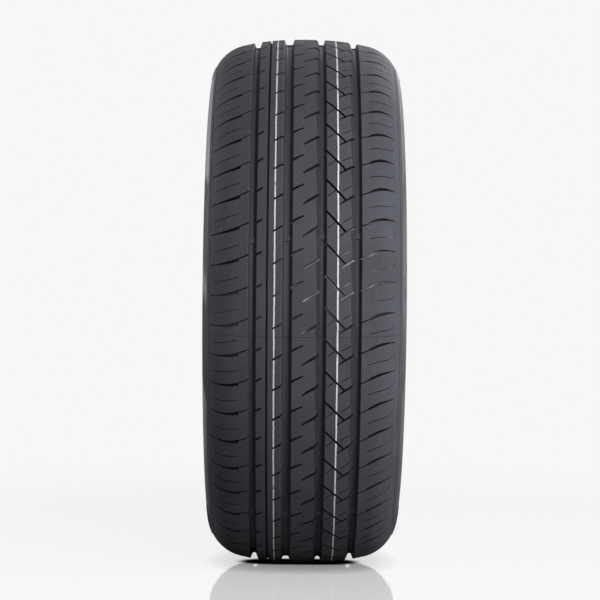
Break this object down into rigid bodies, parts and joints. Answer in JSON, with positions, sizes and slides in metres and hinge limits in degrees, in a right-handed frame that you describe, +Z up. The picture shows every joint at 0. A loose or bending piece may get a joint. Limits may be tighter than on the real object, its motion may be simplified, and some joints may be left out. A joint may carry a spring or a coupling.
{
  "type": "car tyre",
  "caption": "Low-profile road tyre in black rubber, with grooved tread, slotted shoulders, smooth sidewalls and an open bead opening for a wheel rim.",
  "frame": {"origin": "centre of the wheel: on the tyre's own axis, midway between its two beads", "axes": "+Y along the tyre's own axis, to the right of the picture's view; +Z up; +X towards the viewer of the picture"},
  "size_m": [0.634, 0.2244, 0.6335],
  "materials": {
    "rubber": "satin"
  },
  "bodies": {
    "root": {"tyre": "rubber"}
  },
  "joints": []
}
